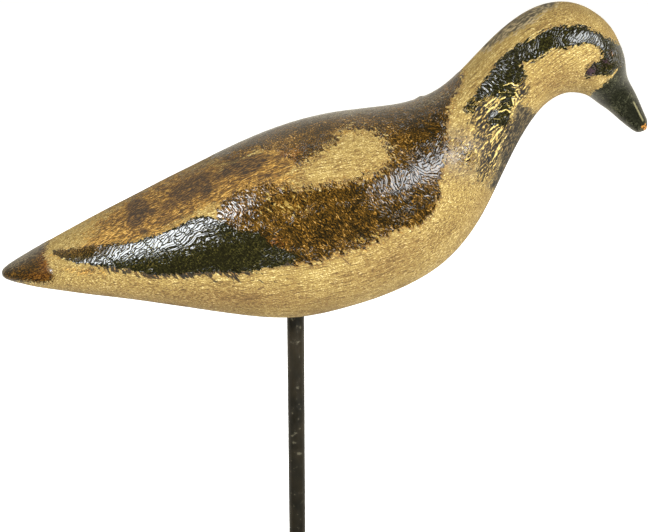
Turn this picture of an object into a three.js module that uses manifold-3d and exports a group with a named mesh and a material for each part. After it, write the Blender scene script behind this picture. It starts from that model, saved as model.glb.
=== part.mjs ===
// A shorebird decoy: a plover-like bird carved in the round from one block of wood, set on an upright steel rod that
// stands in a square foot plate. Millimetres, +Z up, and the bird faces +X. The origin is the centre of the foot
// plate's underside, which is on the rod's axis.

import * as THREE from "three";
import { mergeVertices } from "three/addons/utils/BufferGeometryUtils.js";
import Module from "manifold-3d";

const BIRD_LENGTH = 229; // from the tail's tip to the bill's tip, measured level
const BIRD_WIDTH = 62; // across the fullest part of the body

const ROD_DIAMETER = 6.35; // quarter-inch round steel
const ROD_EXPOSED = 150; // the length that shows between the plate and the belly
const ROD_CHAMFER = 0.6; // on the rod's two ends
const SOCKET_DEPTH = 26; // how far the rod goes up into the bird
const FIT_CLEARANCE = 0.3; // all round the rod, in the bird's socket and in the plate's hole

const PLATE_SIDE = 100; // the foot plate is square
const PLATE_THICKNESS = 8;
const PLATE_CORNER = 5; // radius of its four upright corners
const PLATE_CHAMFER = 1; // on its upper and lower edges
const PLATE_HOLE_DEPTH = 5; // the rod's blind hole, so the underside stays flat

const AROUND_BIRD = 56; // corners in each cross-section of the carving
const RINGS_PER_STATION = 2; // cross-sections from one station to the next
const AROUND_ROD = 40;
const CORNER_STEPS = 6;
const MERGE_DISTANCE = 1e-4;

// The carver's templates, from the tail to the bill. Each station is one cross-section, and joins a point on the
// bird's upper outline to a point on its lower one. Those points are [along, up], in percent of BIRD_LENGTH from the
// place where the rod enters the belly. The four numbers after them are the width in percent of BIRD_WIDTH, the height
// of the widest line as a share of the section from its lower point, and how full the section is above and below that
// line: 2 is an ellipse, less is nearer to a pitched roof, and more is nearer to a box.
const STATIONS = [
  { name: "tail tip", upper: [-46.6, 6.8], lower: [-46.6, 6.6], section: [1, 0.5, 2, 2] },
  { name: "tail end", upper: [-46.1, 7.5], lower: [-46.1, 5.8], section: [11, 0.5, 1.9, 2] },
  { name: "tail", upper: [-44.4, 8.7], lower: [-44.5, 5.3], section: [20, 0.44, 1.8, 2] },
  { name: "tail root", upper: [-40.5, 11.0], lower: [-40.7, 4.7], section: [37, 0.38, 1.7, 2] },
  { name: "wing tips", upper: [-34.6, 14.3], lower: [-34.4, 4.2], section: [57, 0.36, 1.65, 2.05] },
  { name: "rump", upper: [-25.6, 19.0], lower: [-24.9, 3.1], section: [78, 0.38, 1.7, 2.1] },
  { name: "lower back", upper: [-17.0, 23.4], lower: [-15.8, 1.9], section: [91, 0.42, 1.8, 2.2] },
  { name: "back", upper: [-8.6, 27.5], lower: [-7.4, 0.5], section: [98, 0.45, 1.9, 2.25] },
  { name: "mid body", upper: [-0.6, 30.6], lower: [0.6, 0.0], section: [100, 0.47, 2, 2.25] },
  { name: "wing bend", upper: [6.4, 32.2], lower: [8.6, 1.9], section: [99, 0.48, 2.05, 2.25] },
  { name: "shoulder", upper: [12.6, 32.9], lower: [15.9, 4.4], section: [94, 0.49, 2.1, 2.2] },
  { name: "breast", upper: [17.6, 33.8], lower: [22.3, 7.9], section: [84, 0.5, 2.05, 2.15] },
  { name: "foot of neck", upper: [21.6, 35.5], lower: [26.8, 12.7], section: [73, 0.5, 2, 2.1] },
  { name: "lower neck", upper: [25.0, 38.4], lower: [29.8, 18.0], section: [64, 0.5, 2, 2] },
  { name: "neck", upper: [28.0, 41.7], lower: [32.0, 23.1], section: [57, 0.5, 2, 2] },
  { name: "upper neck", upper: [31.2, 44.9], lower: [34.5, 28.8], section: [53, 0.5, 2, 2] },
  { name: "nape", upper: [35.1, 47.6], lower: [37.4, 33.3], section: [52, 0.52, 2.05, 2] },
  { name: "crown", upper: [39.4, 48.8], lower: [40.4, 35.2], section: [52, 0.53, 2.1, 2] },
  { name: "brow", upper: [43.7, 47.9], lower: [42.8, 35.3], section: [49, 0.53, 2.1, 2] },
  { name: "forehead", upper: [47.2, 45.0], lower: [44.5, 34.8], section: [42, 0.52, 2, 2] },
  { name: "face", upper: [49.1, 41.1], lower: [45.8, 33.9], section: [31, 0.5, 1.9, 2] },
  { name: "bill root", upper: [49.8, 37.8], lower: [47.0, 33.1], section: [21, 0.48, 1.75, 2] },
  { name: "bill", upper: [51.3, 35.2], lower: [48.7, 32.0], section: [16.5, 0.46, 1.7, 2] },
  { name: "bill's half", upper: [52.5, 33.0], lower: [50.2, 30.8], section: [12.5, 0.45, 1.7, 2] },
  { name: "bill's end", upper: [53.4, 31.3], lower: [51.6, 29.8], section: [9, 0.45, 1.8, 2] },
  { name: "bill's nail", upper: [53.7, 30.4], lower: [52.4, 29.4], section: [6, 0.5, 2, 2] },
  { name: "bill tip", upper: [53.6, 29.8], lower: [53.2, 29.6], section: [2, 0.5, 2, 2] },
];

const wasm = await Module();
wasm.setup();

// A geometry's faces as a solid that can be cut.
function solidOf(geometry) {
  const bare = geometry.clone();
  bare.deleteAttribute("normal");
  bare.deleteAttribute("uv");
  const merged = mergeVertices(bare, MERGE_DISTANCE);
  const faces = new wasm.Mesh({
    numProp: 3,
    vertProperties: merged.attributes.position.array,
    triVerts: new Uint32Array(merged.index.array),
  });
  return new wasm.Manifold(faces);
}

// A cut solid's faces as a geometry again.
function geometryOf(solid) {
  const faces = solid.getMesh();
  const geometry = new THREE.BufferGeometry();
  geometry.setAttribute("position", new THREE.BufferAttribute(faces.vertProperties, 3));
  geometry.setIndex(new THREE.BufferAttribute(faces.triVerts, 1));
  geometry.computeVertexNormals();
  return geometry;
}

// An upright round bar from one level to another, on the Z axis.
function uprightBar(radius, bottom, top) {
  const bar = new THREE.CylinderGeometry(radius, radius, top - bottom, AROUND_ROD);
  return bar.rotateX(Math.PI / 2).translate(0, 0, (bottom + top) / 2);
}

// One half of a section's outline: a superellipse, from 0 at the middle to 1 at the edge.
function eased(ratio, fullness) {
  return Math.sign(ratio) * Math.abs(ratio) ** (2 / fullness);
}

// The corners of one cross-section, round from the bird's left side over its back.
function ring(upper, lower, width, widest, above, below) {
  const corners = [];
  const spine = upper.clone().sub(lower);
  for (let i = 0; i < AROUND_BIRD; i += 1) {
    const turn = (2 * Math.PI * i) / AROUND_BIRD;
    const rise = Math.sin(turn);
    const fullness = rise >= 0 ? above : below;
    const reach = rise >= 0 ? 1 - widest : widest;
    const level = widest + reach * eased(rise, fullness);
    const point = lower.clone().addScaledVector(spine, level);
    corners.push(point.x, (width / 2) * eased(Math.cos(turn), fullness), point.y);
  }
  return corners;
}

// The carving's skin: a ring at each station and between the stations, closed to a point at both ends.
function carvedSkin() {
  const percent = BIRD_LENGTH / 100;
  const pointOf = ([along, up]) => new THREE.Vector2(along * percent, up * percent);
  const upperLine = new THREE.SplineCurve(STATIONS.map((station) => pointOf(station.upper)));
  const lowerLine = new THREE.SplineCurve(STATIONS.map((station) => pointOf(station.lower)));
  const [width, widest, above, below] = [0, 1, 2, 3].map(
    (which) => new THREE.SplineCurve(STATIONS.map((station) => new THREE.Vector2(station.section[which], 0))),
  );
  const steps = (STATIONS.length - 1) * RINGS_PER_STATION;
  const positions = [];
  for (let step = 0; step <= steps; step += 1) {
    const t = step / steps;
    const across = (width.getPoint(t).x * BIRD_WIDTH) / 100;
    const shape = [across, widest.getPoint(t).x, above.getPoint(t).x, below.getPoint(t).x];
    positions.push(...ring(upperLine.getPoint(t), lowerLine.getPoint(t), ...shape));
  }
  const tailPole = positions.length / 3;
  const billPole = tailPole + 1;
  for (const end of [STATIONS[0], STATIONS[STATIONS.length - 1]]) {
    const middle = pointOf(end.upper).add(pointOf(end.lower)).divideScalar(2);
    positions.push(middle.x, 0, middle.y);
  }
  const faces = [];
  for (let i = 0; i < AROUND_BIRD; i += 1) {
    const next = (i + 1) % AROUND_BIRD;
    faces.push(tailPole, next, i);
    for (let step = 0; step < steps; step += 1) {
      const near = step * AROUND_BIRD;
      const far = near + AROUND_BIRD;
      faces.push(near + i, near + next, far + next, near + i, far + next, far + i);
    }
    const last = steps * AROUND_BIRD;
    faces.push(last + i, last + next, billPole);
  }
  const skin = new THREE.BufferGeometry();
  skin.setAttribute("position", new THREE.Float32BufferAttribute(positions, 3));
  skin.setIndex(faces);
  return skin;
}

// The bird, with the socket that the rod goes up into. Its own origin is where the rod's axis meets the belly.
function carvedBird() {
  const paintedWood = new THREE.MeshStandardMaterial({ color: 0xb08d55, roughness: 0.5, metalness: 0 });
  const socket = uprightBar(ROD_DIAMETER / 2 + FIT_CLEARANCE, -SOCKET_DEPTH, SOCKET_DEPTH);
  const drilled = solidOf(carvedSkin()).subtract(solidOf(socket));
  const bird = new THREE.Mesh(geometryOf(drilled), paintedWood);
  bird.name = "carved_bird";
  return bird;
}

// The rod, with a chamfer at each end. Its own origin is at its foot.
function standRod() {
  const darkSteel = new THREE.MeshStandardMaterial({ color: 0x2b2a24, roughness: 0.45, metalness: 0.7 });
  const radius = ROD_DIAMETER / 2;
  const length = PLATE_HOLE_DEPTH + ROD_EXPOSED + SOCKET_DEPTH;
  const profile = [
    new THREE.Vector2(0, 0),
    new THREE.Vector2(radius - ROD_CHAMFER, 0),
    new THREE.Vector2(radius, ROD_CHAMFER),
    new THREE.Vector2(radius, length - ROD_CHAMFER),
    new THREE.Vector2(radius - ROD_CHAMFER, length),
    new THREE.Vector2(0, length),
  ];
  const turned = new THREE.LatheGeometry(profile, AROUND_ROD).rotateX(Math.PI / 2);
  const rod = new THREE.Mesh(turned, darkSteel);
  rod.name = "stand_rod";
  return rod;
}

// The foot plate, with the blind hole that the rod stands in. Its own origin is the centre of its underside.
function footPlate() {
  const darkSteel = new THREE.MeshStandardMaterial({ color: 0x2b2a24, roughness: 0.5, metalness: 0.7 });
  const half = PLATE_SIDE / 2;
  const inner = half - PLATE_CORNER;
  const outline = new THREE.Shape();
  outline.absarc(inner, inner, PLATE_CORNER, 0, Math.PI / 2);
  outline.absarc(-inner, inner, PLATE_CORNER, Math.PI / 2, Math.PI);
  outline.absarc(-inner, -inner, PLATE_CORNER, Math.PI, 1.5 * Math.PI);
  outline.absarc(inner, -inner, PLATE_CORNER, 1.5 * Math.PI, 2 * Math.PI);
  outline.closePath();
  const slab = new THREE.ExtrudeGeometry(outline, {
    depth: PLATE_THICKNESS - 2 * PLATE_CHAMFER,
    bevelThickness: PLATE_CHAMFER,
    bevelSize: PLATE_CHAMFER,
    bevelOffset: -PLATE_CHAMFER,
    bevelSegments: 1,
    curveSegments: CORNER_STEPS,
  }).translate(0, 0, PLATE_CHAMFER);
  const hole = uprightBar(ROD_DIAMETER / 2 + FIT_CLEARANCE, PLATE_THICKNESS - PLATE_HOLE_DEPTH, 2 * PLATE_THICKNESS);
  const plate = new THREE.Mesh(geometryOf(solidOf(slab).subtract(solidOf(hole))), darkSteel);
  plate.name = "foot_plate";
  return plate;
}

// The stand and the bird put together: the rod stands on the bottom of its hole, and the bird rests on the rod's end.
const decoy = new THREE.Group();
const plate = footPlate();
const rod = standRod();
const bird = carvedBird();
rod.position.z = PLATE_THICKNESS - PLATE_HOLE_DEPTH;
bird.position.z = PLATE_THICKNESS + ROD_EXPOSED;
decoy.add(plate, rod, bird);

export default decoy;
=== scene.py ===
"""The looks of a shorebird decoy, carved and painted by hand, on its rod stand."""

import math

import bpy
import numpy as np
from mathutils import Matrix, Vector, noise


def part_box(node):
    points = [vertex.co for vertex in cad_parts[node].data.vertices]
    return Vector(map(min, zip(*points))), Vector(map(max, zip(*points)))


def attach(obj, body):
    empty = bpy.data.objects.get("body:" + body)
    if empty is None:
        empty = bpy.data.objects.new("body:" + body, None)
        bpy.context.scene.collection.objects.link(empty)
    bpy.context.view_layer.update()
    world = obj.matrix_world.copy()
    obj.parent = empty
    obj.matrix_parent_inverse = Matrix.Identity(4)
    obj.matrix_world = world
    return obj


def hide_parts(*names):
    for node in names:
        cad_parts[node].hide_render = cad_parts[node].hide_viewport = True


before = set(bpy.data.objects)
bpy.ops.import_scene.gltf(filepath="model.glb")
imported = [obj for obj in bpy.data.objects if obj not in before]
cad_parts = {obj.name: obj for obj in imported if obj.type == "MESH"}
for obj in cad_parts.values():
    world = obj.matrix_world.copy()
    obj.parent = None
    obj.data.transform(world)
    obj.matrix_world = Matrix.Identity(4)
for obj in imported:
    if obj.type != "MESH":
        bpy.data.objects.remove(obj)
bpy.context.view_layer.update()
MM = 0.001


# The camera stands at the bird's side and looks a little down, as the photograph does. Its picture is
# level, and its middle is a point on the bird's middle plane.
PHOTO_WIDE = 648
PHOTO_HIGH = 532
SENSOR_WIDE = 36.0
LENS = 64.0
CAMERA_PITCH = math.radians(18)
CAMERA_DISTANCE = 0.418
CAMERA_TARGET = Vector((0.01046, 0.0, 0.17564))
LOOK = Vector((0, math.cos(CAMERA_PITCH), -math.sin(CAMERA_PITCH)))
CAMERA_PLACE = CAMERA_TARGET - CAMERA_DISTANCE * LOOK

bpy.ops.object.camera_add(location=CAMERA_PLACE, rotation=(math.pi / 2 - CAMERA_PITCH, 0, 0))
camera = bpy.context.object
camera.data.lens = LENS
camera.data.sensor_width = SENSOR_WIDE
camera.data.clip_start = 0.01
bpy.context.scene.camera = camera


# The decoy stands in a bright pale room that is dim in front of it. Two soft boxes stand in front: one to
# the left, which draws the shine along the wing, and a wider and dimmer one to the right, for the shine
# on the shoulder and the head. Their places and sizes are in degrees, as seen from the bird. The room is
# dim in each direction whose y is under DIM_UNDER, and bright where it is over BRIGHT_OVER.
ROOM_BEHIND = 0.85
ROOM_IN_FRONT = 0.07
DIM_UNDER = -0.4
BRIGHT_OVER = 0.6
SOFT_BOXES = {
    "left": {"azimuth": -51, "elevation": 29.5, "wide": 27, "high": 16, "radiance": 25},
    "right": {"azimuth": 42, "elevation": 25, "wide": 53, "high": 24, "radiance": 15.5},
}
SOFT_BOX_DISTANCE = 1.1
SOFT_BOX_TINT = (0.93, 0.97, 1.0)
ROOM_TINT = (1.0, 0.94, 0.8, 1)

bpy.context.scene.view_settings.view_transform = "Standard"
world = bpy.data.worlds.new("room")
world.use_nodes = True
bpy.context.scene.world = world
room = world.node_tree
axes = room.nodes.new("ShaderNodeSeparateXYZ")
room.links.new(room.nodes.new("ShaderNodeTexCoord").outputs["Generated"], axes.inputs[0])
brightness = room.nodes.new("ShaderNodeMapRange")
brightness.interpolation_type = "SMOOTHSTEP"
brightness.inputs["From Min"].default_value = DIM_UNDER
brightness.inputs["From Max"].default_value = BRIGHT_OVER
brightness.inputs["To Min"].default_value = ROOM_IN_FRONT
brightness.inputs["To Max"].default_value = ROOM_BEHIND
room.links.new(axes.outputs["Y"], brightness.inputs["Value"])
room.links.new(brightness.outputs["Result"], room.nodes["Background"].inputs["Strength"])
room.nodes["Background"].inputs["Color"].default_value = ROOM_TINT

for name, box in SOFT_BOXES.items():
    azimuth = math.radians(box["azimuth"])
    elevation = math.radians(box["elevation"])
    outward = math.cos(elevation)
    towards = Vector((math.sin(azimuth) * outward, -math.cos(azimuth) * outward, math.sin(elevation)))
    bpy.ops.object.light_add(type="AREA", location=CAMERA_TARGET + SOFT_BOX_DISTANCE * towards)
    light = bpy.context.object
    light.name = f"soft_box_{name}"
    light.rotation_euler = towards.to_track_quat("Z", "Y").to_euler()
    light.data.shape = "RECTANGLE"
    light.data.size = 2 * SOFT_BOX_DISTANCE * math.tan(math.radians(box["wide"] / 2))
    light.data.size_y = 2 * SOFT_BOX_DISTANCE * math.tan(math.radians(box["high"] / 2))
    light.data.color = SOFT_BOX_TINT
    light.data.energy = box["radiance"] * math.pi * light.data.size * light.data.size_y


# The floor is a wide pale table top, which runs past the edges of every view. Like each other round
# thing here, it is drawn with ROUND_SIDES flat sides.
FLOOR_RADIUS = 15.0
FLOOR_GAP = 0.2 * MM
FLOOR_WHITE = (0.9, 0.9, 0.9, 1)
FLOOR_ROUGH = 0.9
FLOOR_GLOW = 0.75
ROUND_SIDES = 96


class Finish:
    """The nodes of one surface's finish. Its places are in millimetres, so each size in it is real."""

    def __init__(self, name):
        self.material = bpy.data.materials.new(name)
        self.material.use_nodes = True
        self.tree = self.material.node_tree
        self.shader = self.tree.nodes["Principled BSDF"]

    def feed(self, socket, value):
        """Gives a socket another node's output, or a plain value."""
        if isinstance(value, bpy.types.NodeSocket):
            self.tree.links.new(value, socket)
        else:
            socket.default_value = value

    def node(self, kind, inputs, **settings):
        """Adds a node. Its inputs go by name, or by number where several have the same name."""
        made = self.tree.nodes.new("ShaderNode" + kind)
        for name, value in settings.items():
            setattr(made, name, value)
        for socket, value in inputs.items():
            self.feed(made.inputs[socket], value)
        return made


bpy.ops.object.select_all(action="DESELECT")
bpy.ops.mesh.primitive_circle_add(
    vertices=ROUND_SIDES, radius=FLOOR_RADIUS, fill_type="NGON", location=(0, 0, -FLOOR_GAP)
)
floor = bpy.context.object
floor.name = "floor"
floor_finish = Finish("pale_floor")
floor_finish.shader.inputs["Base Color"].default_value = FLOOR_WHITE
floor_finish.shader.inputs["Roughness"].default_value = FLOOR_ROUGH
floor_finish.shader.inputs["Specular IOR Level"].default_value = 0.0
floor_finish.shader.inputs["Emission Color"].default_value = FLOOR_WHITE
floor_finish.shader.inputs["Emission Strength"].default_value = FLOOR_GLOW
floor.data.materials.append(floor_finish.material)
floor.visible_glossy = False

# A plain pale backdrop stands round the floor's edge. It neither lights the decoy nor shows in its gloss.
BACKDROP_HEIGHT = 12.0

bpy.ops.object.select_all(action="DESELECT")
bpy.ops.mesh.primitive_cylinder_add(
    vertices=ROUND_SIDES,
    radius=FLOOR_RADIUS,
    depth=BACKDROP_HEIGHT,
    end_fill_type="NOTHING",
    location=(0, 0, BACKDROP_HEIGHT / 2),
)
backdrop = bpy.context.object
backdrop.name = "backdrop"
backdrop_finish = Finish("pale_backdrop")
backdrop_finish.shader.inputs["Base Color"].default_value = (0, 0, 0, 1)
backdrop_finish.shader.inputs["Specular IOR Level"].default_value = 0.0
backdrop_finish.shader.inputs["Emission Color"].default_value = (1, 1, 1, 1)
backdrop_finish.shader.inputs["Emission Strength"].default_value = 1.0
backdrop.data.materials.append(backdrop_finish.material)
backdrop.visible_diffuse = False
backdrop.visible_glossy = False
backdrop.visible_transmission = False
backdrop.visible_shadow = False


# The foot is a square plate of blackened steel with rounded corners. The photograph ends above it, so it
# is kept plain. Its edges are eased, and the rod stands in a hole in its middle.
PLATE_CORNER = 5.0 * MM
PLATE_EDGE = 1.0 * MM
ROD_RADIUS = 3.175 * MM
CLEARANCE = 0.3 * MM
HOLE_DEPTH = 5.0 * MM
STEEL_DARK = (26, 23, 14)
STEEL_WARM = (44, 37, 23)
STEEL_WORN = (84, 78, 60)
TINY = 0.01 * MM


def new_piece(name):
    """Names the piece that was just added, and puts its place into its mesh."""
    piece = bpy.context.object
    piece.name = name
    piece.data.name = name
    bpy.ops.object.transform_apply(location=True, rotation=True, scale=True)
    return piece


def pick(piece, kind, test):
    """Selects, in edit mode, the faces or edges of a piece that pass a test."""
    bpy.ops.object.mode_set(mode="EDIT")
    bpy.ops.mesh.select_mode(type=kind)
    bpy.ops.mesh.select_all(action="DESELECT")
    bpy.ops.object.mode_set(mode="OBJECT")
    for part in piece.data.polygons if kind == "FACE" else piece.data.edges:
        part.select = test([piece.data.vertices[i].co for i in part.vertices])
    bpy.ops.object.mode_set(mode="EDIT")


def level(corners):
    """Whether a face or an edge lies level, but for a tiny slope."""
    heights = [corner.z for corner in corners]
    return max(heights) - min(heights) < TINY


def drill(piece, radius, low, high):
    """Bores an upright hole at the origin."""
    bpy.ops.object.select_all(action="DESELECT")
    bpy.ops.mesh.primitive_cylinder_add(
        vertices=ROUND_SIDES, radius=radius, depth=high - low, location=(0, 0, (low + high) / 2)
    )
    bit = bpy.context.object
    bpy.context.view_layer.objects.active = piece
    hole = piece.modifiers.new("hole", "BOOLEAN")
    hole.operation = "DIFFERENCE"
    hole.solver = "EXACT"
    hole.object = bit
    bpy.ops.object.modifier_apply(modifier=hole.name)
    bpy.data.objects.remove(bit)


def smooth_sides(piece, angle):
    """Shades a piece smooth, but for its edges that are sharper than an angle in degrees."""
    bpy.ops.object.select_all(action="DESELECT")
    piece.select_set(True)
    bpy.context.view_layer.objects.active = piece
    bpy.ops.object.shade_smooth_by_angle(angle=math.radians(angle))


def rise(finish, value, low, high, least=0.0, most=1.0):
    """A smooth step: least where the value is under low, and most where it is over high."""
    inputs = {"Value": value, "From Min": low, "From Max": high, "To Min": least, "To Max": most}
    return finish.node("MapRange", inputs, interpolation_type="SMOOTHSTEP").outputs["Result"]


def stretched(finish, where, long, wide, turn, seed):
    """Places measured in a length and a width in millimetres, turned about the side view."""
    inputs = {
        "Vector": where,
        "Location": (seed, seed, seed),
        "Rotation": (0, math.radians(turn), 0),
        "Scale": (long, wide, wide),
    }
    return finish.node("Mapping", inputs, vector_type="TEXTURE").outputs[0]


def spots(finish, where, long, wide, turn=0, seed=0, detail=2.0, rough=0.5):
    """Noise from 0 to 1, in soft spots of a length and a width."""
    placed = stretched(finish, where, long, wide, turn, seed)
    inputs = {"Vector": placed, "Scale": 1.0, "Detail": detail, "Roughness": rough}
    return rise(finish, finish.node("TexNoise", inputs).outputs["Fac"], 0.3, 0.7)


def paint(red, green, blue):
    """A colour from its display values, 0 to 255."""
    return (*[((value / 255 + 0.055) / 1.055) ** 2.4 for value in (red, green, blue)], 1.0)


def over(finish, amount, below, above, blend="MIX"):
    """One colour laid over another, by an amount of 0 to 1."""
    below, above = (paint(*colour) if isinstance(colour, tuple) else colour for colour in (below, above))
    inputs = {0: amount, 6: below, 7: above}
    return finish.node("Mix", inputs, data_type="RGBA", blend_type=blend).outputs[2]


def place_on(finish):
    """The place on a piece, in millimetres."""
    here = finish.node("TexCoord", {}).outputs["Object"]
    return finish.node("VectorMath", {0: here, "Scale": 1 / MM}, operation="SCALE").outputs[0]


def rough_up(finish, height, depth):
    """Tilts the surface by a height of 0 to 1, which stands for a depth in millimetres."""
    bump = finish.node("Bump", {"Height": height, "Distance": depth * MM, "Strength": 1.0})
    finish.feed(finish.shader.inputs["Normal"], bump.outputs[0])


def blackened_steel(name):
    """Blackened steel: warm and cool mottling, fine pits, and a little bare metal where it is rubbed."""
    finish = Finish(name)
    here = place_on(finish)
    grime = spots(finish, here, 2.2, 2.2, seed=11, detail=5, rough=0.65)
    colour = over(finish, spots(finish, here, 9, 9, seed=3, detail=4), STEEL_DARK, STEEL_WARM)
    colour = over(finish, rise(finish, grime, 0.85, 1.0), colour, STEEL_WORN)
    finish.feed(finish.shader.inputs["Base Color"], colour)
    finish.feed(finish.shader.inputs["Roughness"], rise(finish, grime, 0.0, 1.0, 0.34, 0.5))
    finish.shader.inputs["Metallic"].default_value = 0.35
    rough_up(finish, spots(finish, here, 0.7, 0.7, seed=5, detail=3), 0.03)
    return finish.material


bpy.ops.object.select_all(action="DESELECT")
plate_low, plate_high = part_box("foot_plate")
plate_size = plate_high - plate_low
bpy.ops.mesh.primitive_cube_add(size=1, location=(plate_low + plate_high) / 2, scale=plate_size)
plate = new_piece("steel_foot")
pick(plate, "EDGE", lambda corners: not level(corners))
bpy.ops.mesh.bevel(offset=PLATE_CORNER, segments=8, affect="EDGES")
bpy.ops.object.mode_set(mode="OBJECT")
pick(plate, "FACE", level)
bpy.ops.mesh.region_to_loop()
bpy.ops.mesh.bevel(offset=PLATE_EDGE, segments=4, affect="EDGES")
bpy.ops.object.mode_set(mode="OBJECT")
drill(plate, ROD_RADIUS + CLEARANCE, plate_high.z - HOLE_DEPTH, plate_high.z + HOLE_DEPTH)
plate.data.materials.clear()
plate.data.materials.append(blackened_steel("foot_steel"))
smooth_sides(plate, 30)
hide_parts("foot_plate")
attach(plate, "root")


# The rod is a length of quarter-inch round steel bar, blackened, and a little pitted by age. Its ends are
# chamfered: one stands in the foot, and the other goes up into the bird's belly.
ROD_CHAMFER = 0.6 * MM
ROD_CUTS = 240
PIT_DEPTH = 0.05 * MM
PIT_SIZES = (2.5 * MM, 0.9 * MM)

bpy.ops.object.select_all(action="DESELECT")
rod_low, rod_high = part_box("stand_rod")
rod_length = rod_high.z - rod_low.z
rod_middle = (rod_low.z + rod_high.z) / 2
bpy.ops.mesh.primitive_cylinder_add(
    vertices=ROUND_SIDES, radius=ROD_RADIUS, depth=rod_length, location=(0, 0, rod_middle)
)
rod = new_piece("steel_rod")
pick(rod, "FACE", level)
bpy.ops.mesh.region_to_loop()
bpy.ops.mesh.bevel(offset=ROD_CHAMFER, segments=1, affect="EDGES")
bpy.ops.object.mode_set(mode="OBJECT")
pick(rod, "EDGE", lambda corners: abs(corners[0].z - corners[1].z) > rod_length / 2)
bpy.ops.mesh.subdivide(number_cuts=ROD_CUTS)
bpy.ops.object.mode_set(mode="OBJECT")
for corner in rod.data.vertices:
    outward = Vector((corner.co.x, corner.co.y, 0))
    if outward.length > ROD_RADIUS - ROD_CHAMFER / 2:
        pitting = sum(noise.noise(corner.co / size) for size in PIT_SIZES)
        corner.co -= outward.normalized() * PIT_DEPTH * max(0.0, pitting)
rod.data.materials.append(blackened_steel("rod_steel"))
smooth_sides(rod, 30)
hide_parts("stand_rod")
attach(rod, "root")


# The bird is carved in the round from one block of soft wood, with head, bill and tail in one, and sanded
# smooth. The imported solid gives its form: its flat faces are rounded, and its socket is closed and then
# drilled again.
SKIN_GRID = 0.73 * MM
SMOOTHING_ROUNDS = 3
SOCKET_RADIUS = ROD_RADIUS + CLEARANCE
SOCKET_REACH = SOCKET_RADIUS + 0.05 * MM

bpy.ops.object.select_all(action="DESELECT")
bird = bpy.data.objects.new("painted_bird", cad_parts["carved_bird"].data.copy())
bpy.context.scene.collection.objects.link(bird)
bird.select_set(True)
bpy.context.view_layer.objects.active = bird
bird.data.materials.clear()
bpy.ops.object.mode_set(mode="EDIT")
bpy.ops.mesh.select_all(action="SELECT")
bpy.ops.mesh.remove_doubles(threshold=TINY)
bpy.ops.object.mode_set(mode="OBJECT")
pick(bird, "FACE", lambda corners: all(corner.xy.length < SOCKET_REACH for corner in corners))
bpy.ops.mesh.delete(type="FACE")
bpy.ops.mesh.select_mode(type="EDGE")
bpy.ops.mesh.select_non_manifold()
bpy.ops.mesh.fill_holes(sides=0)
bpy.ops.mesh.select_all(action="SELECT")
bpy.ops.mesh.tris_convert_to_quads()
bpy.ops.object.mode_set(mode="OBJECT")
rounded = bird.modifiers.new("rounded", "SUBSURF")
rounded.levels = rounded.render_levels = 1
bpy.ops.object.modifier_apply(modifier=rounded.name)
skin = bird.modifiers.new("skin", "REMESH")
skin.mode = "VOXEL"
skin.voxel_size = SKIN_GRID
bpy.ops.object.modifier_apply(modifier=skin.name)
sanded = bird.modifiers.new("sanded", "SMOOTH")
sanded.iterations = SMOOTHING_ROUNDS
bpy.ops.object.modifier_apply(modifier=sanded.name)
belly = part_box("carved_bird")[0].z
drill(bird, SOCKET_RADIUS, belly - SOCKET_RADIUS, rod_high.z)

# The grain runs along the bird, from the tail up the neck to the bill. A place's grain is three
# millimetre values: how far along the bird's bent middle line it is, how far across, and how far above or
# below that line.
MIDDLE_LINE = [
    (-107, 173), (-60, 183), (-10, 194), (30, 203), (52, 218), (70, 239), (87, 254), (105, 267),
    (125, 283),
]
LINE_STEPS = 12


def smooth_line(points, closed=False):
    """A smooth line through given points, which comes round again where it is closed."""
    points = np.array(points, dtype=float)
    if closed:
        points = np.concatenate([points[-1:], points, points[:2]])
    else:
        points = np.concatenate([[2 * points[0] - points[1]], points, [2 * points[-1] - points[-2]]])
    line = []
    for before, start, end, after in zip(points, points[1:], points[2:], points[3:]):
        for t in np.arange(LINE_STEPS) / LINE_STEPS:
            slope = (end - before) * t
            bend = (2 * before - 5 * start + 4 * end - after) * t**2
            twist = (3 * start - before - 3 * end + after) * t**3
            line.append(start + (slope + bend + twist) / 2)
    return np.array(line)


def grain_of(places):
    """How far along, across and above the middle line each place is, and the way the line runs there."""
    line = smooth_line(MIDDLE_LINE)
    side = places[:, [0, 2]]
    nearest = np.full(len(side), np.inf)
    along = np.zeros(len(side))
    above = np.zeros(len(side))
    way = np.zeros((len(side), 3))
    start_along = 0.0
    for start, end in zip(line, line[1:]):
        length = np.linalg.norm(end - start)
        forward = (end - start) / length
        offset = side - start
        reach = np.clip(offset @ forward, 0, length)
        away = np.linalg.norm(offset - reach[:, None] * forward, axis=1)
        closer = away < nearest
        nearest[closer] = away[closer]
        along[closer] = start_along + reach[closer]
        above[closer] = (offset @ (-forward[1], forward[0]))[closer]
        way[closer] = (forward[0], 0, forward[1])
        start_along += length
    return np.stack([along, places[:, 1], above], axis=1), way


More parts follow.
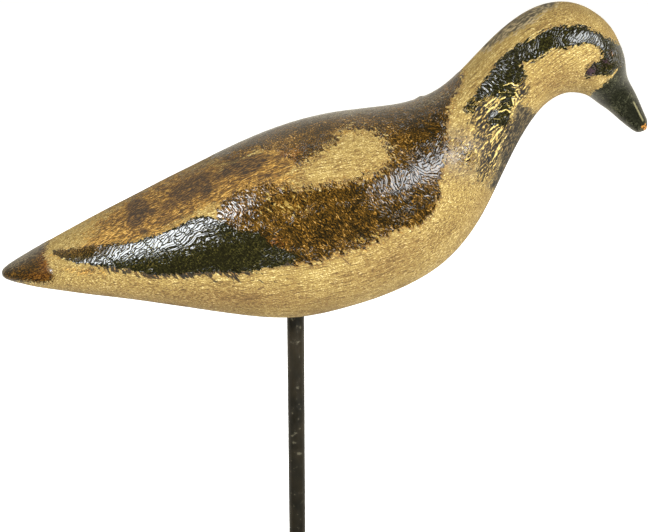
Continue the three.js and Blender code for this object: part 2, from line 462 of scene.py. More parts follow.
# The painter laid a cream ground, a brown saddle with a pale patch, a black wing tip, a black stripe from
# the eye down the neck, a dark nape and a black bill. The outlines are where the photograph shows them,
# in its own pixels. The far side is painted much as the near one.
OUTLINES = {
    "saddle": [
        (262, 60), (447, 60), (448, 108), (445, 128), (447, 142), (441, 178), (436, 204), (419, 224),
        (396, 230), (380, 240), (355, 250), (336, 254), (311, 263), (285, 262), (240, 240), (217, 222),
        (222, 205), (240, 190), (262, 184), (285, 181), (300, 172), (292, 160), (275, 151), (260, 147),
        (243, 150), (226, 157), (212, 158), (218, 146), (236, 130), (250, 100),
    ],
    "pale_patch": [
        (289, 182), (297, 174), (308, 163), (320, 153), (332, 147), (342, 134), (360, 130), (380, 138),
        (390, 153), (384, 167), (362, 176), (332, 182), (305, 187),
    ],
    "tail": [
        (-30, 225), (40, 225), (47, 242), (44, 254), (50, 268), (53, 279), (43, 284), (21, 283),
        (-30, 292),
    ],
    "wing_tip": [
        (52, 251), (76, 247.5), (108, 244), (135, 241), (166, 231), (200, 216), (222, 220), (242, 231),
        (258, 232), (270, 244), (288, 252), (300, 256), (285, 264), (267, 269), (240, 273), (210, 272.5),
        (184, 274), (150, 275), (129, 269.5), (97, 266), (67, 260.5),
    ],
    "eye_stripe": [
        (621, 46), (601, 34), (581, 26), (551, 27), (532, 38), (513, 47), (501, 58), (490, 73), (475, 93),
        (464, 108), (470, 113), (488, 99), (506, 92), (521, 84), (526, 75), (521, 64), (537, 60),
        (550, 50), (567, 48), (583, 44), (593, 44), (601, 50), (609, 56), (622, 56),
    ],
    "lore": [
        (587, 79), (586, 72), (591, 65), (600, 60), (604, 52), (612, 45), (628, 50), (628, 63), (616, 70),
        (611, 75), (603, 76.5), (596, 75),
    ],
    "bill": [
        (640, 60), (621.5, 64.5), (610.5, 78), (601.5, 87), (592, 93), (590, 112), (640, 145), (662, 125),
    ],
    "nape": [
        (470, 30), (482, 51), (498, 41.5), (521, 29), (534, 20), (546, 10), (555, 6), (558, -12),
        (500, -12),
    ],
    "throat": [
        (534, 112), (522, 103), (516, 106), (513, 119), (505, 139), (499, 160), (489, 188), (505, 185),
        (530, 150), (548, 120),
    ],
    "neck_blot": [
        (495, 86), (508, 85), (516, 88), (516, 97), (514, 107), (511, 113), (511, 121), (504, 127),
        (493, 126), (487, 120), (491, 114), (499, 109), (500, 102), (493, 96),
    ],
}


def photo_pixels(places):
    """Where the photograph shows each place, with the far side folded onto the near one."""
    aside = places[:, 0] - CAMERA_TARGET.x / MM
    deep = -np.abs(places[:, 1]) - CAMERA_TARGET.y / MM
    up = places[:, 2] - CAMERA_TARGET.z / MM
    away = CAMERA_DISTANCE / MM + deep * LOOK.y + up * LOOK.z
    lift = up * LOOK.y - deep * LOOK.z
    lens = LENS / SENSOR_WIDE * PHOTO_WIDE
    return np.stack([PHOTO_WIDE / 2 + aside / away * lens, PHOTO_HIGH / 2 - lift / away * lens], axis=1)


def inside_of(outline, pixels):
    """How many pixels inside an outline each place is, and less than nothing where it is outside."""
    starts = smooth_line(outline, closed=True)
    nearest = np.full(len(pixels), np.inf)
    inside = np.zeros(len(pixels), dtype=bool)
    for start, end in zip(starts, np.roll(starts, -1, axis=0)):
        run = end - start
        offset = pixels - start
        reach = np.clip(offset @ run / (run @ run), 0, 1)
        nearest = np.minimum(nearest, np.linalg.norm(offset - reach[:, None] * run, axis=1))
        crosses = (start[1] > pixels[:, 1]) != (end[1] > pixels[:, 1])
        if run[1]:
            inside ^= crosses & (offset[:, 0] < offset[:, 1] * run[0] / run[1])
    return np.where(inside, nearest, -nearest)


def keep_on(piece, name, values):
    """Stores a value, or a vector, for each corner of a piece."""
    kind = "FLOAT_VECTOR" if values.ndim == 2 else "FLOAT"
    store = piece.data.attributes.new(name, kind, "POINT")
    store.data.foreach_set("vector" if values.ndim == 2 else "value", values.ravel())


def soft_step(values, low, high):
    """A smooth step from 0, where a value is under low, to 1, where it is over high."""
    ramp = np.clip((values - low) / (high - low), 0, 1)
    return ramp * ramp * (3 - 2 * ramp)


flat = np.zeros(3 * len(bird.data.vertices))
bird.data.vertices.foreach_get("co", flat)
places = flat.reshape(-1, 3) / MM
pixels = photo_pixels(places)
grain, forward = grain_of(places)
PIXEL = CAMERA_DISTANCE / MM / (LENS / SENSOR_WIDE * PHOTO_WIDE)

# The far side's body was painted by eye, so its patches lie a little off from the near side's. The shift
# sets in across the back, by millimetres, and ends at the neck, by pixels.
BY_EYE = ("saddle", "pale_patch")
FAR_SIDE_SHIFT = (13.0, -5.0)
SHIFT_SETS_IN = (-2.0, 14.0)
SHIFT_ENDS = (430.0, 470.0)
far_side = soft_step(places[:, 1], *SHIFT_SETS_IN) * (1 - soft_step(pixels[:, 0], *SHIFT_ENDS))
by_eye = pixels + far_side[:, None] * FAR_SIDE_SHIFT
maps = {}
for name, outline in OUTLINES.items():
    maps[name] = PIXEL * inside_of(outline, by_eye if name in BY_EYE else pixels)

# Broad soft blots steer where each paint lies: the middle, the half length and the half width in the
# photograph's pixels, the tilt in degrees, and the strength. Some steer the gloss instead: the cream is
# polished under "polish", the ridges in the gloss fade out under "calm", and "ridge_turn" turns them, by
# degrees.
BLOTS = {
    "brown": [
        (138, 214, 16, 9, 60, 1.3), (136, 205, 12, 8, 30, 0.9), (143, 231, 7, 5, 0, 0.8),
        (152, 212, 6, 5, 40, 0.75), (186, 190, 19, 11, 30, 1.05), (206, 188, 8, 9, 0, 1.0),
        (201, 178, 15, 6, 25, 0.85), (170, 204, 28, 9, 33, 0.55), (251, 164, 18, 9, 33, 1.2),
        (230, 169, 25, 7, 33, 0.9), (240, 152, 34, 9, 27, 0.95), (276, 140, 20, 8, 20, 0.85),
        (284, 153, 18, 13, 20, 0.78), (268, 177, 24, 8, 12, 0.6), (256, 161, 30, 10, 27, 0.8),
        (100, 221, 60, 4, 27, 0.25), (165, 219, 17, 8, 25, 0.54), (118, 232, 14, 5, 30, 0.3),
        (205, 166, 50, 10, 28, 0.45), (220, 182, 24, 10, 30, 0.4), (258, 182, 30, 6, 15, 0.45),
        (170, 222, 14, 7, 30, 0.35),
    ],
    "golden": [
        (160, 206, 84, 24, 28, 1.35), (108, 238, 34, 11, 20, 0.95), (222, 187, 26, 16, 30, 1.3),
        (262, 170, 42, 18, 22, 1.15), (288, 150, 22, 15, 20, 1.3), (274, 187, 32, 12, 8, 1.2),
        (70, 256, 34, 6, 0, 0.6), (85, 271, 34, 6, -5, 0.6), (345, 160, 52, 24, 20, 0.33),
        (400, 262, 40, 8, 30, 0.2), (470, 120, 14, 40, 20, 0.3),
    ],
    # These blots run along the top edges of the back and the tail: grey laid on as a painted sheen.
    "grey_sheen": [
        (24, 256, 24, 6, 30, 0.9), (140, 192, 70, 6, 27, 0.5), (205, 160, 56, 8, 28, 0.62),
        (245, 137, 50, 6, 24, 0.8), (330, 114, 90, 6, 8, 0.8), (430, 100, 30, 6, 20, 0.6),
        (80, 226, 40, 4, 27, 0.35),
    ],
    "umber": [
        (425, 122, 22, 24, 90, 0.9), (372, 222, 46, 12, 22, 0.9), (300, 122, 60, 8, 12, 0.5),
        (243, 155, 18, 8, 25, 0.8), (335, 225, 80, 18, 14, 0.75), (425, 203, 20, 10, 40, 0.9),
        (418, 165, 42, 18, 45, 1.2),
    ],
    "ochre": [
        (283, 152, 26, 14, 20, 1.0), (340, 132, 22, 8, 25, 0.6), (262, 190, 34, 14, 15, 0.8),
        (285, 205, 26, 18, 0, 0.5), (310, 190, 30, 6, 10, 0.6), (232, 215, 22, 14, 20, 0.1),
        (365, 180, 30, 6, 15, 0.5), (405, 150, 14, 18, 0, 0.4), (108, 237, 30, 9, 20, 1.0),
        (80, 262, 34, 16, 0, 0.9), (150, 224, 30, 6, 27, 0.4),
    ],
    "rust": [
        (274, 243, 16, 8, 0, 0.45), (240, 212, 24, 14, 0, 0.25), (285, 156, 26, 8, 20, 0.5),
        (47, 262, 8, 14, 0, 0.9), (40, 276, 16, 5, 0, 0.7), (612, 53, 4, 5, 45, 0.4),
    ],
    # These blots lay a darkening glaze: painted shade under the belly and low on the flank, and a lighter
    # darkening in a few patches higher up.
    "belly": [
        (150, 296, 100, 11, -3, 0.55), (240, 300, 110, 13, 0, 1.0), (390, 262, 70, 18, 30, 0.8),
        (470, 225, 60, 20, 60, 0.35), (560, 82, 34, 12, 15, 0.6), (300, 312, 40, 8, 0, 0.6),
        (575, 14, 30, 14, -10, 0.5), (611, 32, 14, 16, 0, 0.6), (345, 165, 50, 30, 20, 0.3),
    ],
    "fringe": [(190, 275, 110, 7, -3, 1.0), (300, 258, 40, 8, 10, 0.8)],
    "dry": [(80, 250, 36, 6.5, 5, 1.4)],
    "crackle": [
        (492, 122, 26, 22, 60, 1.0), (497, 148, 20, 26, 70, 1.0), (470, 150, 22, 30, 60, 0.45),
        (475, 105, 16, 10, 40, 0.6), (503, 142, 30, 11, 66, 1.4), (486, 108, 18, 10, 45, 1.2),
        (522, 92, 12, 7, 80, 1.1), (492, 156, 28, 13, 68, 1.2),
    ],
    "polish": [(459, 152, 18, 28, 60, 1.25)],
    "calm": [
        (330, 225, 80, 24, 14, 1.1), (550, 42, 25, 14, 22, 0.85), (606, 62, 10, 10, 0, 0.8),
        (506, 108, 22, 16, 60, 0.5), (285, 203, 40, 20, 10, 1.0), (330, 196, 36, 10, 5, 1.2),
        (74, 251, 28, 9, 5, 1.4), (24, 265, 36, 20, 0, 1.2), (300, 135, 60, 12, 12, 0.7),
        (215, 257, 70, 10, 14, 1.5), (140, 267, 30, 5, 8, 1.2), (236, 262, 30, 9, 10, 1.2),
        (425, 214, 30, 9, 32, 1.1), (410, 138, 44, 14, 22, 0.8),
    ],
    "purple": [(591, 72, 6, 5, 30, 0.9), (606, 62, 8, 5, 20, 0.4), (597, 92, 5, 3, 0, 0.8)],
    "bill_shade": [(632, 111, 17, 3.5, -56, 1.0)],
    "worn": [(645, 127, 2.2, 4, 60, 1.0)],
    "pale_flecks": [(283, 206, 20, 12, 0, 0.3), (368, 239, 16, 5, 20, 0.3), (300, 190, 40, 6, 10, 0.25)],
    "ridge_turn": [
        (400, 185, 38, 26, 0, 105), (243, 214, 28, 24, 0, 85), (497, 85, 30, 22, 50, 80),
        (448, 145, 16, 20, 0, 25),
    ],
}

# A few thin lines are drawn one by one, each from end to end in the photograph's pixels.
CRACKS = [(338, 255, 353, 267), (257, 289.5, 264.5, 288)]
# The bill's ridge line is drawn pale, as a painted highlight.
BILL_RIDGE = [(632, 101, 643, 122)]
NECK_STROKES = [
    (503, 86, 510, 83), (510, 83, 519, 86.5), (515, 92, 519, 98), (500, 100, 506, 96.5),
    (512, 98, 514.5, 106), (520, 101, 515, 109), (498, 112, 507, 110), (507, 110, 519, 118),
    (483, 107, 497, 97), (486, 113, 498, 104), (489, 131, 499, 124), (490, 143, 503, 128),
    (497, 150, 509, 133), (492, 163, 501, 146), (497, 171, 506, 151),
]


def blots_at(blots, pixels):
    """How strong the strongest of some soft blots is at each place."""
    strongest = np.zeros(len(pixels))
    for x, y, long, wide, tilt, strength in blots:
        slope = math.radians(tilt)
        offset = pixels - (x, y)
        along = offset @ (math.cos(slope), -math.sin(slope))
        across = offset @ (math.sin(slope), math.cos(slope))
        blot = strength * np.exp(-((along / long) ** 2) - (across / wide) ** 2)
        strongest = np.maximum(strongest, blot)
    return strongest


def beside(lines, pixels):
    """How far beside the nearest of some short lines each place is, and its share of the way along it."""
    nearest = np.full(len(pixels), np.inf)
    place = np.zeros((len(pixels), 3))
    for x0, y0, x1, y1 in lines:
        run = np.array((x1 - x0, y1 - y0))
        length = np.linalg.norm(run)
        offset = pixels - (x0, y0)
        side = offset @ (-run[1], run[0]) / length
        share = offset @ run / length**2
        away = np.hypot(side, length * np.maximum(np.abs(share - 0.5) - 0.5, 0))
        closer = away < nearest
        nearest[closer] = away[closer]
        place[closer, 0] = PIXEL * side[closer]
        place[closer, 1] = share[closer]
    return place


for name, blots in BLOTS.items():
    maps[name] = blots_at(blots, by_eye)

# The knife and the sandpaper left soft flats along the grain, and the brush left fine ridges. The dark
# paint is thick: it stands a little proud, and it has dried into wrinkles, mostly along the bird. One
# flake lifts on the back.
FACET_SIZE = (22.0, 9.0, 9.0)
FACET_DEPTH = 0.2
BRUSH_SIZE = (14.0, 1.7, 1.7)
BRUSH_DEPTH = 0.02
WRINKLE_SIZE = (5.0, 1.8, 1.8)
WRINKLE_TURNED_SIZE = (1.8, 4.0, 4.0)
WRINKLE_DEPTH = 0.04
PAINT_THICKNESS = 0.12
DARK_PAINTS = ("saddle", "wing_tip", "eye_stripe", "lore", "bill", "neck_blot", "tail")
SMOOTH_PAINTS = ("bill", "tail")
FLAKE_PLACE = (44.0, 4.0, 235.5)
FLAKE_SIZE = (1.2, 2.5, 3.0)
FLAKE_LIFT = 0.45
SKIN_INSET = 0.33
BILL_END = (108.0, 114.0)
BILL_END_FILL = 0.5


def noise_at(places, size, seed):
    """Soft noise of about -1 to 1 at each place."""
    scaled = places / np.array(size) + seed
    return np.array([noise.noise(Vector(spot)) for spot in scaled])


def painted(names):
    """Where any of some paints lies."""
    return np.max([soft_step(maps[name], -0.3, 0.5) for name in names], axis=0)


dark = painted(DARK_PAINTS) * (1 - soft_step(maps["pale_patch"], -0.5, 0.5))
wrinkled = dark * (1 - painted(SMOOTH_PAINTS)) * (1 - np.clip(maps["calm"], 0, 1))
turned = np.clip(maps["ridge_turn"] / 90, 0, 1)
wrinkles = 1 - 2 * np.abs(noise_at(grain, WRINKLE_SIZE, 5.5))
turned_wrinkles = 1 - 2 * np.abs(noise_at(grain, WRINKLE_TURNED_SIZE, 6.1))
relief = FACET_DEPTH * noise_at(grain, FACET_SIZE, 3.3)
relief += BRUSH_DEPTH * noise_at(grain, BRUSH_SIZE, 7.1) * (1 - dark)
relief += WRINKLE_DEPTH * (wrinkles * (1 - turned) + turned_wrinkles * turned - 0.5) * wrinkled
relief += PAINT_THICKNESS * dark
relief += FLAKE_LIFT * np.exp(-(((places - FLAKE_PLACE) / FLAKE_SIZE) ** 2).sum(axis=1))
normals = np.zeros(3 * len(bird.data.vertices))
bird.data.vertex_normals.foreach_get("vector", normals)
normals = normals.reshape(-1, 3)
relief -= SKIN_INSET * np.abs(normals[:, 1])
relief += BILL_END_FILL * soft_step(places[:, 0], *BILL_END)
beside_rod = np.hypot(places[:, 0], places[:, 1]) < SOCKET_RADIUS / MM + 0.2
below_socket_end = places[:, 2] < rod_high.z / MM + 1
relief[beside_rod & below_socket_end] = 0
skin_low, skin_high = (np.array(corner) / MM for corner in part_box("carved_bird"))
places = np.clip(places + relief[:, None] * normals, skin_low, skin_high)
bird.data.vertices.foreach_set("co", (places * MM).ravel())
bird.data.update()

# The finest ridges run along the grain, or are turned from it. Their direction is kept as the one across
# them.
turn = np.radians(maps.pop("ridge_turn"))[:, None]
across_grain = np.cross(normals, forward)
for name, values in maps.items():
    keep_on(bird, name, values)
keep_on(bird, "grain", grain)
keep_on(bird, "ridges", np.cos(turn) * across_grain + np.sin(turn) * forward)
keep_on(bird, "cracks", beside(CRACKS, pixels))
keep_on(bird, "bill_ridge", beside(BILL_RIDGE, pixels))
keep_on(bird, "neck_strokes", beside(NECK_STROKES, pixels))

# The finish is old oil paint under a yellowed varnish. Each paint is given from its darkest strokes to
# its lightest.
CREAM = [
    (0.1, (74, 51, 16)), (0.33, (110, 84, 34)), (0.52, (133, 108, 51)), (0.7, (155, 133, 71)),
    (0.95, (206, 189, 135)),
]
OCHRE = [(0.2, (50, 31, 2)), (0.42, (92, 61, 7)), (0.6, (132, 94, 24)), (0.8, (186, 148, 72))]
UMBER = [(0.2, (26, 17, 2)), (0.5, (62, 41, 6)), (0.8, (120, 84, 28))]
BROWN = [
    (0.2, (22, 16, 3)), (0.4, (52, 36, 8)), (0.56, (84, 57, 14)), (0.7, (118, 83, 29)),
    (0.88, (184, 148, 88)),
]
RUSTY = [(0.25, (40, 22, 5)), (0.5, (86, 50, 14)), (0.75, (140, 96, 44))]
# This grey is the nape's grey paint, and also the painted sheen over the top of the back and the tail.
GREY_PAINT_AND_SHEEN = [(0.25, (40, 35, 24)), (0.55, (82, 72, 52)), (0.85, (144, 126, 90))]
THROAT = [(0.2, (14, 11, 5)), (0.5, (30, 25, 14)), (0.85, (98, 81, 48))]
BLACK = [(0.3, (17, 15, 4)), (0.6, (31, 29, 10)), (0.78, (44, 41, 16)), (0.92, (72, 60, 28))]
BILL = [(0.3, (20, 20, 12)), (0.6, (38, 38, 26)), (0.85, (66, 64, 48))]
PURPLE = (52, 38, 42)
NECK = [(0.43, (18, 14, 4)), (0.5, (74, 54, 18)), (0.56, (122, 96, 42)), (0.65, (192, 166, 92))]
STRAND = (190, 166, 98)
# This glaze darkens the cream as painted shade under the belly.
SHADE_GLAZE = (212, 198, 178)
POLISHED_GLAZE = (200, 192, 190)
BARE_WOOD = (146, 98, 42)
# The pale line on the bill's ridge is a painted highlight.
BILL_HIGHLIGHT = (106, 100, 72)
OLD_MARK = (92, 62, 24)
CRACK_DARK = (84, 58, 24)
CREAM_ROUGH = 0.9
POLISHED_ROUGH = 0.14
TAIL_ROUGH = 0.16
BROWN_ROUGH = 0.11
BLACK_ROUGH = 0.08
RIDGE_SPACING = 1.7
RIDGE_RUN = 3.4
RIDGE_ORDER = 0.72
RIDGE_BUMP = 0.3
CREASE = 0.07
BRUSH_BUMP = 0.05


def own(finish, name, output="Fac"):
    """One of the values that were kept for each corner of the piece."""
    return finish.node("Attribute", {}, attribute_name=name).outputs[output]


def maths(finish, operation, first, second=0.0, third=0.0):
    """One sum, product or other working of up to three values."""
    return finish.node("Math", {0: first, 1: second, 2: third}, operation=operation).outputs[0]


def weigh(finish, *parts):
    """The sum of some values, each times its own share."""
    total = 0.0
    for value, share in parts:
        total = maths(finish, "MULTIPLY_ADD", value, share, total)
    return total


def blend_of(finish, amount, low, high):
    """A number between two others."""
    return finish.node("Mix", {0: amount, 2: low, 3: high}, data_type="FLOAT").outputs[0]


def hue(finish, value, colours):
    """A paint's colour at a value, between the colours that it has at some values."""
    made = finish.node("ValToRGB", {"Fac": value})
    points = made.color_ramp.elements
    for i, (place, colour) in enumerate(colours):
        point = points[i] if i < 2 else points.new(place)
        point.position = place
        point.color = paint(*colour)
    return made.outputs[0]


def wander(finish, where, size, reach):
    """Places pushed about by soft noise, so that what follows them bends."""
    push = finish.node("TexNoise", {"Vector": where, "Scale": 1 / size, "Detail": 2.0}).outputs["Color"]
    push = finish.node("VectorMath", {0: push, 1: (0.5, 0.5, 0.5)}, operation="SUBTRACT").outputs[0]
    push = finish.node("VectorMath", {0: push, "Scale": 2 * reach}, operation="SCALE").outputs[0]
    return finish.node("VectorMath", {0: where, 1: push}, operation="ADD").outputs[0]


def strokes(finish, where, long, wide, turn=0, seed=0):
    """Flat dabs of a brush, of a length and a width, each with a value of its own from 0 to 1."""
    placed = stretched(finish, where, long, wide, turn, seed)
    dabs = finish.node("TexVoronoi", {"Vector": placed, "Scale": 1.0}).outputs["Color"]
    return finish.node("SeparateXYZ", {"Vector": dabs}).outputs[0]


def covered(finish, name, dabs, soft):
    """How much of a blotted paint lies at a place: it catches on the dabs of highest value first."""
    return rise(finish, maths(finish, "MULTIPLY_ADD", own(finish, name), 1 + soft, dabs), 1, 1 + soft)


def jagged(finish, name, edge_noise, reach, soft, shift=0.0):
    """How much of an outlined paint lies at a place. Noise makes its edge ragged over a reach."""
    ragged = rise(finish, edge_noise, 0.0, 1.0, shift - reach, shift + reach)
    return rise(finish, maths(finish, "ADD", own(finish, name), ragged), -soft, soft)


def ripples(finish, where, long, wide, turn, seed):
    """Smooth noise of about 0.3 to 0.7, in spots of a length and a width."""
    placed = stretched(finish, where, long, wide, turn, seed)
    return finish.node("TexNoise", {"Vector": placed, "Scale": 1.0, "Detail": 1.0}).outputs["Fac"]


def dashes(finish, noise_value, least):
    """Short crisp strokes, where noise is over a value."""
    return rise(finish, noise_value, least, least + 0.03)


def squiggles(finish, noise_value, middle, share):
    """Winding lines, where noise is near a value. At 0.5 they cover about a share of the surface."""
    off = maths(finish, "ABSOLUTE", maths(finish, "SUBTRACT", noise_value, middle))
    return rise(finish, off, share / 8, share / 4, 1.0, 0.0)


def drawn(finish, name, half_width, wobble):
    """A single line, kept as how far beside it and how far along it each place is."""
    place = finish.node("SeparateXYZ", {"Vector": own(finish, name, "Vector")}).outputs
    beside_it = maths(finish, "ABSOLUTE", maths(finish, "ADD", place[0], wobble))
    line = rise(finish, beside_it, half_width / 2, half_width * 1.5, 1.0, 0.0)
    start = rise(finish, place[1], 0.0, 0.1)
    end = rise(finish, place[1], 0.9, 1.0, 1.0, 0.0)
    return maths(finish, "MULTIPLY", line, maths(finish, "MULTIPLY", start, end))


def bird_paint():
    """All the bird's paints, in the order in which they were put on, then their gloss and fine relief."""
    finish = Finish("old_oil_paint")
    here = place_on(finish)
    bent = wander(finish, here, 5.0, 1.0)
    along = own(finish, "grain", "Vector")
    brushed = wander(finish, along, 4.0, 0.5)

    # The cream ground is brushed along the bird, in many thin lines. It is browner and darker under the
    # belly, which is painted shade, and a little darker in a few patches higher up.
    lines = spots(finish, along, 18, 0.5, seed=2, detail=1)
    clouds = spots(finish, brushed, 14, 8, seed=8, detail=1)
    dabs = strokes(finish, brushed, 2.4, 0.5, turn=8, seed=21)
    scores = ripples(finish, brushed, 8, 0.26, 0, 31)
    specks = ripples(finish, brushed, 0.7, 0.26, 35, 33)
    light_scores = dashes(finish, scores, 0.56)
    dark_scores = dashes(finish, maths(finish, "SUBTRACT", 1.0, scores), 0.57)
    tone = weigh(
        finish,
        (lines, 0.1), (dabs, 0.05), (clouds, 0.1), (light_scores, 0.17), (dark_scores, -0.26),
        (dashes(finish, specks, 0.6), 0.14), (specks, 0.72), (0.0, 1.0),
    )
    marks = dashes(finish, ripples(finish, bent, 1.1, 0.5, -60, 35), 0.69)
    cream = over(finish, marks, hue(finish, tone, CREAM), OLD_MARK)
    # The glaze's darkening is painted shade.
    cream = over(finish, own(finish, "belly"), cream, SHADE_GLAZE, "MULTIPLY")

    # Thin golden and brown paints lie over the rump and the rear, put on with a dry brush.
    dry_dabs = strokes(finish, brushed, 1.9, 0.42, turn=-20, seed=41)
    dry_grain = spots(finish, brushed, 4.0, 1.1, turn=-10, seed=45, detail=4, rough=0.7)
    dry_scores = ripples(finish, brushed, 2.0, 0.3, -6, 43)
    light_dry = dashes(finish, dry_scores, 0.56)
    dark_dry = dashes(finish, maths(finish, "SUBTRACT", 1.0, dry_scores), 0.56)
    dry = weigh(finish, (dry_dabs, 0.4), (dry_grain, 0.35), (dry_scores, 0.25))
    rear_tone = weigh(
        finish,
        (tone, 0.35), (dry_dabs, 0.28), (dry_grain, 0.2), (light_dry, 0.24), (dark_dry, -0.3),
        (own(finish, "ochre"), 0.16), (-0.02, 1.0),
    )
    ground = over(finish, covered(finish, "golden", dry, 0.3), cream, hue(finish, rear_tone, OCHRE))
    ground = over(finish, covered(finish, "brown", dry, 0.35), ground, hue(finish, rear_tone, UMBER))

    # The brown saddle is dabbed on, dark over light. A gold fringe shows round it and round the pale
    # patch.
    swirled = wander(finish, here, 6.0, 2.2)
    slants = strokes(finish, swirled, 1.6, 0.4, turn=50, seed=51)
    flecks = spots(finish, swirled, 0.9, 0.34, turn=40, seed=61, detail=1)
    blotches = spots(finish, here, 6, 4, turn=30, seed=55, detail=3)
    light_dashes = dashes(finish, ripples(finish, swirled, 1.5, 0.34, 48, 62), 0.59)
    dark_dashes = dashes(finish, ripples(finish, swirled, 1.6, 0.38, 38, 64), 0.57)
    brown_tone = weigh(
        finish,
        (slants, 0.22), (flecks, 0.22), (blotches, 0.16), (light_dashes, 0.26), (dark_dashes, -0.2),
        (own(finish, "ochre"), 0.16), (own(finish, "umber"), -0.1), (0.09, 1.0),
    )
    brown = hue(finish, brown_tone, BROWN)
    rusty = hue(finish, brown_tone, RUSTY)
    brown = over(finish, covered(finish, "rust", flecks, 0.4), brown, rusty)
    teeth = weigh(finish, (strokes(finish, bent, 3.0, 0.9, turn=50, seed=57), 0.75), (flecks, 0.25))
    fringe = jagged(finish, "saddle", teeth, 1.5, 0.4, 0.8)
    saddle = jagged(finish, "saddle", teeth, 1.1, 0.2)
    patch = jagged(finish, "pale_patch", teeth, 2.2, 0.3, 0.8)
    patch_core = jagged(finish, "pale_patch", teeth, 1.8, 0.3, -0.8)
    ochre = hue(finish, maths(finish, "ADD", brown_tone, 0.08), OCHRE)
    colour = over(finish, maths(finish, "MULTIPLY", fringe, 0.85), ground, ochre)
    pale_dabs = strokes(finish, bent, 2.2, 0.6, turn=45, seed=59)
    brown = over(finish, covered(finish, "pale_flecks", pale_dabs, 0.1), brown, cream)
    colour = over(finish, saddle, colour, brown)
    colour = over(finish, patch, colour, over(finish, rise(finish, flecks, 0.3, 0.7), ochre, cream))
    colour = over(finish, patch_core, colour, cream)

    # The tail tip is brown, and rusty along its edge. Grey is painted over the top of the back and of the
    # tail, as a painted sheen.
    tail = jagged(finish, "tail", weigh(finish, (dry_dabs, 0.5), (flecks, 0.5)), 1.2, 0.3)
    tail_tone = weigh(finish, (brown_tone, 0.5), (lines, 0.3), (own(finish, "rust"), 0.1))
    tail_brown = hue(finish, tail_tone, BROWN)
    tail_rusty = hue(finish, tail_tone, RUSTY)
    colour = over(finish, tail, colour, over(finish, own(finish, "rust"), tail_brown, tail_rusty))
    grey_sheen = maths(finish, "MULTIPLY", covered(finish, "grey_sheen", lines, 0.5), 0.75)
    colour = over(finish, grey_sheen, colour, hue(finish, tone, GREY_PAINT_AND_SHEEN))

    # The black paint has a green cast and a few flecks. Its lower edge on the wing is a row of slanted
    # brown strokes.
    sparks = strokes(finish, bent, 1.4, 0.5, turn=-40, seed=81)
    green = spots(finish, bent, 0.8, 0.4, turn=30, seed=83, detail=1)
    black_tone = weigh(finish, (sparks, 0.3), (green, 0.5), (clouds, 0.1), (slants, 0.1))
    black = hue(finish, black_tone, BLACK)
    fingers = ripples(finish, bent, 6.0, 1.0, 46, 85)
    near_wing = rise(finish, own(finish, "wing_tip"), -3.0, 0.2)
    finger_ends = dashes(finish, weigh(finish, (fingers, 1.0), (near_wing, 0.3)), 0.66)
    wing_fringe = maths(finish, "MULTIPLY", finger_ends, rise(finish, own(finish, "fringe"), 0.25, 0.5))
    wing = jagged(finish, "wing_tip", teeth, 0.6, 0.12, -0.1)
    colour = over(finish, wing_fringe, colour, over(finish, slants, black, brown))
    thin_black = maths(finish, "MULTIPLY", own(finish, "dry"), 0.5)
    colour = over(finish, wing, colour, over(finish, thin_black, black, brown))

    # The head's black is solid above, and low on the neck it breaks up into dark and cream squiggles.
    head_noise = spots(finish, brushed, 1.8, 0.8, seed=101, detail=3, rough=0.6)
    head_black = jagged(finish, "eye_stripe", head_noise, 0.8, 0.15)
    head_black = maths(finish, "MAXIMUM", head_black, jagged(finish, "lore", head_noise, 0.7, 0.15))
    neck_black = jagged(finish, "neck_blot", head_noise, 0.7, 0.15)
    broken = covered(finish, "crackle", head_noise, 0.5)
    strands = ripples(finish, bent, 2.2, 0.45, -50, 95)
    cream_strands = maths(finish, "MULTIPLY", squiggles(finish, strands, 0.53, 0.32), broken)
    neck_tone = weigh(finish, (strands, 1.0), (own(finish, "crackle"), -0.11), (tone, 0.1))
    head_paint = over(finish, covered(finish, "purple", green, 0.4), black, PURPLE)
    head_paint = over(finish, covered(finish, "rust", green, 0.5), head_paint, rusty)
    head_paint = over(finish, cream_strands, head_paint, cream)
    colour = over(finish, own(finish, "polish"), colour, POLISHED_GLAZE, "MULTIPLY")
    nicks = dashes(finish, ripples(finish, bent, 1.6, 0.5, -15, 99), 0.61)
    colour = over(finish, maths(finish, "MULTIPLY", nicks, own(finish, "polish")), colour, black)
    colour = over(finish, broken, colour, hue(finish, neck_tone, NECK))
    colour = over(finish, neck_black, over(finish, head_black, colour, head_paint), black)
    wobble = weigh(finish, (head_noise, 0.5), (0.25, -1.0))
    colour = over(finish, drawn(finish, "neck_strokes", 0.22, wobble), colour, STRAND)

    # The bill is a greyer black, worn to the wood at its tip, with a pale line along its upper edge
    # that is a painted highlight.
    bill = jagged(finish, "bill", head_noise, 0.6, 0.2)
    bill_shade = own(finish, "bill_shade")
    bill_tone = weigh(finish, (green, 0.4), (head_noise, 0.3), (clouds, 0.3), (bill_shade, -0.3))
    bill_highlight = drawn(finish, "bill_ridge", 0.25, 0.0)
    bill_paint = over(finish, bill_highlight, hue(finish, bill_tone, BILL), BILL_HIGHLIGHT)
    bill_paint = over(finish, covered(finish, "worn", green, 0.3), bill_paint, BARE_WOOD)
    colour = over(finish, bill, colour, bill_paint)
    nape = jagged(finish, "nape", head_noise, 0.9, 0.18)
    throat = jagged(finish, "throat", head_noise, 1.4, 0.3)
    thin_nape = maths(finish, "MULTIPLY", nape, 0.92)
    thin_throat = maths(finish, "MULTIPLY", throat, 0.95)
    colour = over(finish, thin_nape, colour, hue(finish, head_noise, GREY_PAINT_AND_SHEEN))
    colour = over(finish, thin_throat, colour, hue(finish, head_noise, THROAT))
    cracks = drawn(finish, "cracks", 0.22, weigh(finish, (head_noise, 0.6), (0.3, -1.0)))
    colour = over(finish, cracks, colour, CRACK_DARK)

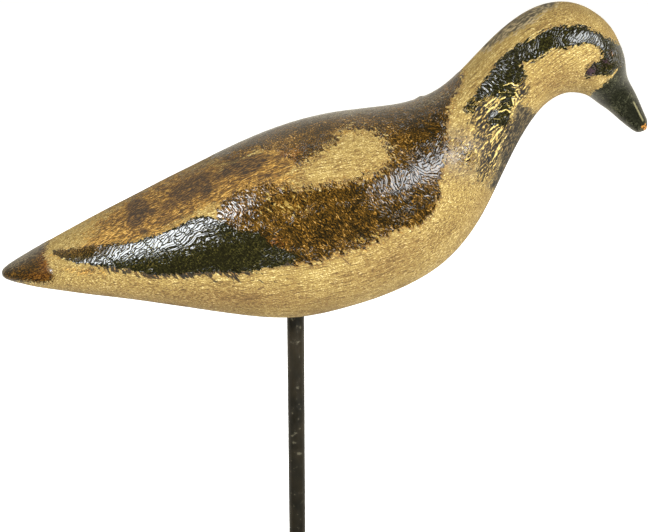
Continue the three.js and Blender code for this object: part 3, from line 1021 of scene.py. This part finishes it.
    # The gloss is highest on the dark paints, and it breaks up over their ridges, which meet in thin
    # creases.
    black_all = maths(finish, "MAXIMUM", wing, head_black)
    black_all = maths(finish, "MAXIMUM", black_all, maths(finish, "MAXIMUM", neck_black, bill))
    bare_patch = maths(finish, "SUBTRACT", 1.0, patch)
    dark_all = maths(finish, "MAXIMUM", black_all, maths(finish, "MULTIPLY", saddle, bare_patch))
    ridged = maths(finish, "MAXIMUM", dark_all, maths(finish, "MULTIPLY", own(finish, "polish"), 0.25))
    ridged = maths(finish, "MULTIPLY", ridged, maths(finish, "SUBTRACT", 1.0, bill))
    ridged = maths(finish, "MULTIPLY", ridged, rise(finish, own(finish, "calm"), 0.0, 1.0, 1.0, 0.0))
    finish.feed(finish.shader.inputs["Base Color"], colour)
    pale_rough = blend_of(finish, own(finish, "polish"), CREAM_ROUGH, POLISHED_ROUGH)
    rough = blend_of(finish, dark_all, pale_rough, BROWN_ROUGH)
    rough = blend_of(finish, black_all, rough, BLACK_ROUGH)
    rough = blend_of(finish, tail, rough, TAIL_ROUGH)
    finish.feed(finish.shader.inputs["Roughness"], rough)
    finish.shader.inputs["Specular IOR Level"].default_value = 0.5
    inputs = {
        "Vector": wander(finish, here, 4.0, 1.5),
        "Scale": 1 / RIDGE_RUN,
        "Frequency": RIDGE_RUN / RIDGE_SPACING,
        "Anisotropy": RIDGE_ORDER,
        5: own(finish, "ridges", "Vector"),
    }
    waves = finish.node("TexGabor", inputs, gabor_type="3D").outputs["Value"]
    off_middle = maths(finish, "ABSOLUTE", maths(finish, "SUBTRACT", waves, 0.5))
    creased = rise(finish, off_middle, 0.0, CREASE)
    ridges = weigh(finish, (creased, 0.45), (waves, 0.6))
    pale = maths(finish, "SUBTRACT", 1.0, maths(finish, "MAXIMUM", dark_all, tail))
    brush_marks = maths(finish, "MULTIPLY", tone, pale)
    brush_height = maths(finish, "MULTIPLY", brush_marks, BRUSH_BUMP / RIDGE_BUMP)
    height = maths(finish, "MULTIPLY_ADD", ridges, ridged, brush_height)
    rough_up(finish, height, RIDGE_BUMP)
    return finish.material


bird.data.materials.append(bird_paint())
smooth_sides(bird, 50)
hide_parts("carved_bird")
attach(bird, "root")
